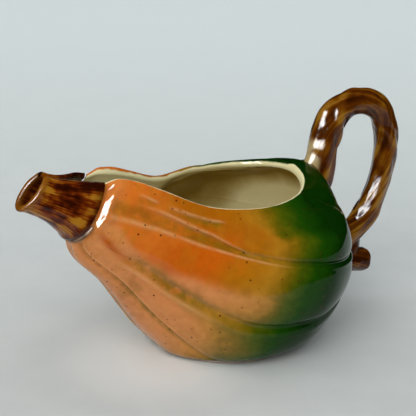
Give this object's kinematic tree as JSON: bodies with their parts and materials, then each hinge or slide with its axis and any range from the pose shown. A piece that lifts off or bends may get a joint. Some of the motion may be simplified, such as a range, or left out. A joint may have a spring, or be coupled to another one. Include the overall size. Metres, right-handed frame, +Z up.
{
  "type": "gourd-shaped ceramic cream jug",
  "caption": "Glazed ceramic cream jug shaped like a lobed gourd, with a wide open mouth, a cut-stem pouring spout and a twisted vine handle.",
  "frame": {"origin": "centre of the foot ring's resting face, on the table", "axes": "+Z up, -X towards the pouring lip, +X towards the handle, y = 0 is the mirror plane"},
  "size_m": [0.2127, 0.1176, 0.1158],
  "materials": {
    "gourd_glaze": "glossy orange glaze, airbrushed to dark green at the rear, with a cream glaze inside",
    "bark_glaze": "glossy streaked brown glaze",
    "slip": "thin golden-brown glaze over slip",
    "bare_clay": "matt, unglazed"
  },
  "bodies": {
    "root": {"gourd_bowl": "gourd_glaze", "stem_spout": "bark_glaze", "spout_seam": "slip", "foot_ring": "bare_clay", "vine_handle": "bark_glaze", "upper_root_bead": "slip", "lower_root_bead": "slip", "vine_tail": "bark_glaze", "twig_stub": "bark_glaze"}
  },
  "joints": []
}
